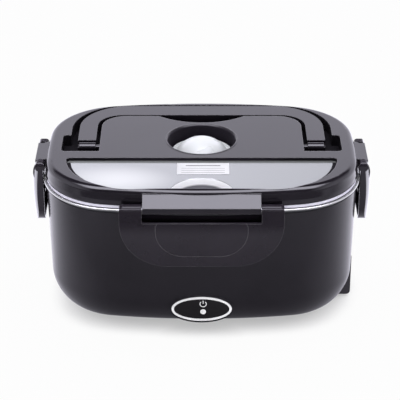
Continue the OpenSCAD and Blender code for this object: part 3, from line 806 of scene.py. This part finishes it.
@dataclass
class Lid(Dressed):
    """Lid with its steel window plate, label, seal and vent plug."""

    finishes: dict[str, Finish] = field(default_factory=lambda: {
        "lid_shell": Finish.LID_BLACK,
        "lid_liner": Finish.LINER_GREY,
        "lid_seal": Finish.SEAL_GREY,
        "lid_plate": Finish.WINDOW_STEEL,
        "name_label": Finish.LABEL_WHITE,
        "latch_pins": Finish.PLAIN_STEEL,
        "vent_plug": Finish.PLUG_WHITE,
    })
    bedded: float = 0.01 * MM
    rule_rows: tuple[float, ...] = (0.14, 0.33, 0.52)
    rule_margin: float = 3.0 * MM
    rule_width: float = 0.4 * MM
    rule_height: float = 0.03 * MM
    head_row: float = 0.76
    head_margin: float = 6.0 * MM
    head_width: float = 1.1 * MM
    window_centre: float = 47.5 * MM
    window_radius: float = 46.2 * MM
    bezel_gap: float = 0.5 * MM
    bezel_turn: Span = (186.0, 270.0)
    bezel_widths: Span = (3.0 * MM, 1.6 * MM)
    bezel_height: float = 0.5 * MM
    bezel_steps: int = 48
    ring_radius: float = 25.4 * MM
    ring_width: float = 1.0 * MM
    ring_height: float = 0.25 * MM
    ring_steps: int = 144

    def bezel(self) -> None:
        """Lays the dark bezel that holds the window plate along its curved edge."""
        low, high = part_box("lid_plate")
        middle = low.y + self.window_radius
        tip, front = self.bezel_widths
        first, last = self.bezel_turn
        outer, inner = [], []
        for i in range(self.bezel_steps + 1):
            share = i / self.bezel_steps
            turn = math.radians(first + (last - first) * share)
            width = tip + (front - tip) * math.sin(share * math.pi / 2)
            rim = self.window_radius + self.bezel_gap
            for line, radius in ((outer, rim), (inner, rim - width)):
                x = radius * math.cos(turn) - self.window_centre
                line.append((x, middle + radius * math.sin(turn)))
        for line in (outer, inner):
            line.extend([(-x, y) for x, y in reversed(line)])
        data = bmesh.new()
        Mesh.band(data, outer, inner, high.z + 2 * self.bedded, high.z + self.bezel_height)
        Mesh.piece("window_bezel", data, Finish.LID_BLACK, "lid", "gloss_black")

    def vent_ring(self) -> None:
        """Raises the thin bead round the mouth of the vent well."""
        low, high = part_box("vent_plug")
        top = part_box("lid_shell")[1].z
        place = Matrix.Translation(((low.x + high.x) / 2, (low.y + high.y) / 2, top - self.bedded))
        data = bmesh.new()
        last = 360.0 - 360.0 / self.ring_steps
        line = arc((0.0, 0.0), self.ring_radius, 0.0, last, self.ring_steps - 1)
        Mesh.ribbon(data, line, self.ring_width, place, self.ring_height, closed=True)
        Mesh.piece("vent_ring", data, Finish.HANDLE_BLACK, "lid", "gloss_black")

    def label_rules(self) -> None:
        """Rules the blank write-on label, with a wider rule at its head."""
        low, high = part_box("name_label")
        place = Matrix.Translation((0.0, 0.0, high.z + self.bedded))
        rules = [(share, self.rule_margin, self.rule_width) for share in self.rule_rows]
        rules.append((self.head_row, self.head_margin, self.head_width))
        data = bmesh.new()
        for share, margin, width in rules:
            y = low.y + (high.y - low.y) * share
            Mesh.ribbon(data, [(low.x + margin, y), (high.x - margin, y)], width, place, self.rule_height)
        Mesh.piece("label_rules", data, Finish.RULE_GREY, "lid", "label_white")

    def build(self) -> None:
        """Dresses the nodes and adds the bezel, the vent ring and the label's rules."""
        self.dress()
        self.bezel()
        self.vent_ring()
        self.label_rules()


@dataclass
class Handle(Dressed):
    """Fold-flat carry handle."""

    finishes: dict[str, Finish] = field(default_factory=lambda: {"carry_handle": Finish.HANDLE_BLACK})


@dataclass
class Latches(Dressed):
    """The four swing latches."""

    finishes: dict[str, Finish] = field(default_factory=lambda: {
        f"latch_{side}": Finish.SATIN_BLACK for side in ("front", "rear", "left", "right")})


# ---- studio --------------------------------------------------------------------------------


@dataclass(frozen=True)
class Softbox:
    """A rectangular studio lamp."""

    name: str
    place: Point
    aim: Point
    size: Span
    power: float

    def build(self) -> None:
        """Hangs the lamp and turns it to its aim."""
        data = bpy.data.lights.new(self.name, "AREA")
        data.shape, data.size, data.size_y, data.energy = "RECTANGLE", *self.size, self.power
        lamp = bpy.data.objects.new(self.name, data)
        lamp.location = self.place
        lamp.rotation_euler = (Vector(self.aim) - Vector(self.place)).to_track_quat("-Z", "Y").to_euler()
        lamp.visible_glossy = False
        bpy.context.scene.collection.objects.link(lamp)


@dataclass
class Studio:
    """Pale floor, soft light and the camera.

    The room that the glossy pieces mirror is laid out by its turn, in degrees from the back over
    the top to the front, and by how far it lies to the side, from 0 to 1.
    """

    eye: Point = (-1.14 * MM, -1063.4 * MM, 625.8 * MM)
    pitch: float = 27.6
    lens: float = 149.8
    film: float = 36.0
    far_clip: float = 50.0
    floor_half: float = 4.0
    floor_drop: float = 0.02 * MM
    floor_grey: Colour = (0.74, 0.74, 0.75)
    shadow_reach: float = 20.0 * MM
    shadow_span: Span = (0.2, 0.7)
    shadow_seen: Span = (0.4, 0.98)
    shadow_mirrored: Span = (0.7, 1.0)
    lamps: tuple[Softbox, ...] = (
        Softbox("lamp_top", (0.0, 0.1, 1.9), (0.0, 0.0, 0.0), (1.5, 0.9), 24.0),
        Softbox("lamp_left", (-1.8, -0.3, 1.1), (0.0, 0.0, 0.05), (0.9, 1.2), 8.0),
        Softbox("lamp_right", (1.8, -0.3, 1.1), (0.0, 0.0, 0.05), (0.9, 1.2), 8.0),
        Softbox("lamp_front", (0.0, -2.3, 0.6), (0.0, 0.0, 0.05), (1.4, 0.8), 24.0),
    )
    tint: Colour = (0.97, 0.95, 1.08)
    strip_turn: Span = (82.0, 124.0)
    strip_ends: Span = (0.7, 0.5)
    strip_blur: float = 6.0
    strip_level: float = 8.6
    back_level: float = 1.6
    wall_top: float = 35.0
    wall_blur: float = 4.0
    gap_level: float = 0.08
    side_turn: Span = (0.55, 0.85)
    side_level: float = 1.3
    front_level: float = 0.1
    front_blur: float = 7.0
    soft_level: float = 0.18
    soft_lift: float = 1.1
    soft_back: Span = (-0.25, 0.45)
    soft_low: Span = (1.0, 0.55)
    front_floor: Span = (0.68, 0.28)
    front_reach: Span = (-280.0 * MM, -90.0 * MM)
    corner_floor: float = 0.2
    corner_reach: Span = (90.0 * MM, 200.0 * MM)
    far_floor: float = 0.25
    far_reach: Span = (-310.0 * MM, -250.0 * MM)
    side_floor: float = 1.5
    side_reach: Span = (-140.0 * MM, 120.0 * MM)
    side_width: Span = (60.0 * MM, 120.0 * MM)

    def camera(self) -> None:
        """Sets up the camera."""
        data = bpy.data.cameras.new("camera")
        data.lens, data.sensor_width = self.lens, self.film
        data.clip_end = self.far_clip
        camera = bpy.data.objects.new("camera", data)
        camera.location = self.eye
        camera.rotation_euler = (math.radians(90.0 - self.pitch), 0.0, 0.0)
        bpy.context.scene.collection.objects.link(camera)
        bpy.context.scene.camera = camera

    def _mirrored_floor(self, s: Shader) -> Sock:
        """How bright the glossy pieces see the floor.

        Args:
            s: the floor material's graph.

        Returns:
            Dim close in front and far out, brighter towards the corners and brightest at the sides.
        """
        x, y, _ = s.parts(s.place())
        front = y.ramp(*self.front_reach, *self.front_floor)
        corners = x.size().ramp(*self.corner_reach, 0.0, self.corner_floor)
        sides = y.ramp(*self.side_reach, 0.0, self.side_floor) * x.size().ramp(*self.side_width)
        return (front + corners) * y.ramp(*self.far_reach, self.far_floor, 1.0) + sides

    def _floor_material(self) -> bpy.types.Material:
        """Makes the floor's material.

        Returns:
            A pale floor with the box's soft shadow on it.
        """
        made = bpy.data.materials.new("pale_floor")
        s = Shader(made)
        near = s.add("ShaderNodeAmbientOcclusion", {"samples": 8}, {"Distance": self.shadow_reach}, "AO")
        open_air = near.ramp(*self.shadow_span)
        plain = s.add("ShaderNodeBsdfDiffuse", {}, {"Color": self.floor_grey})
        lift = s.add("ShaderNodeEmission", {}, {"Color": WHITE, "Strength": PAGE_WHITE})
        level = self._mirrored_floor(s) * open_air.ramp(0.0, 1.0, *self.shadow_mirrored)
        mirrored = s.add("ShaderNodeEmission", {}, {"Color": self.tint, "Strength": level})
        amount = s.ray("Is Camera Ray") * open_air.ramp(0.0, 1.0, *self.shadow_seen)
        seen = s.add("ShaderNodeMixShader", {}, {0: amount, 1: plain, 2: lift})
        end = s.add("ShaderNodeMixShader", {}, {0: s.ray("Is Glossy Ray"), 1: seen, 2: mirrored})
        s.node("ShaderNodeOutputMaterial", {}, {"Surface": end})
        return made

    def floor(self) -> None:
        """Lays the pale floor, which keeps the box's shadow."""
        data = bmesh.new()
        bmesh.ops.create_grid(data, x_segments=1, y_segments=1, size=self.floor_half)
        mesh = bpy.data.meshes.new("floor")
        data.to_mesh(mesh)
        data.free()
        mesh.materials.append(self._floor_material())
        floor = bpy.data.objects.new("floor", mesh)
        floor.location = (0.0, 0.0, -self.floor_drop)
        bpy.context.scene.collection.objects.link(floor)

    def _mirrored_room(self, x: Sock, y: Sock, z: Sock) -> Sock:
        """How bright the glossy pieces see the room.

        Args:
            x: the part of the direction that points to the right.
            y: the part that points to the back.
            z: the part that points up.

        Returns:
            A pale back wall, a bright strip overhead, pale sides and a dark front.
        """
        turn = z.angle(y) * (180.0 / math.pi)
        sideways = x.size()
        first, last = self.strip_turn
        strip = turn.ramp(first - self.strip_blur, first + self.strip_blur)
        strip = strip * sideways.ramp(*self.strip_ends)
        wall = turn.ramp(self.wall_top + self.wall_blur, self.wall_top - self.wall_blur)
        gap = sideways.ramp(*self.side_turn, self.gap_level, self.side_level)
        gap = gap * (1.0 - wall) * (1.0 - strip)
        behind = strip * self.strip_level + wall * self.back_level + gap
        before = sideways.ramp(*self.side_turn, self.front_level, self.side_level)
        overhead = turn.ramp(last + self.front_blur, last - self.front_blur)
        return behind * overhead + before * (1.0 - overhead)

    def world(self) -> None:
        """Lights the room, and gives what the glossy pieces mirror."""
        world = bpy.data.worlds.new("room")
        bpy.context.scene.world = world
        s = Shader(world)
        x, y, z = s.parts(s.add("ShaderNodeTexCoord", {}, {}, "Generated"))
        mirrored = self._mirrored_room(x, y, z)
        soft = self.soft_level + y.ramp(*self.soft_back) * z.ramp(*self.soft_low) * self.soft_lift
        glossy = s.ray("Is Glossy Ray")
        seen = s.ray("Is Camera Ray")
        room = mirrored * glossy + soft * (1.0 - glossy)
        end = s.add("ShaderNodeBackground", {}, {
            "Color": s.mix(seen, self.tint, WHITE),
            "Strength": room * (1.0 - seen) + seen * PAGE_WHITE})
        s.node("ShaderNodeOutputWorld", {}, {"Surface": end})

    def build(self) -> None:
        """Sets up everything that isn't the lunch box."""
        self.camera()
        self.floor()
        self.world()
        for lamp in self.lamps:
            lamp.build()
        bpy.context.scene.view_settings.view_transform = "Standard"
        log.info("studio ready with %d lamps", len(self.lamps))


def main() -> None:
    """Builds every sub-assembly and the studio, in order."""
    Studio().build()
    for assembly in (Base(), Heater(), Inlet(), Indicator(), Container(), Lid(), Handle(), Latches()):
        assembly.build()


if __name__ == "__main__":
    main()
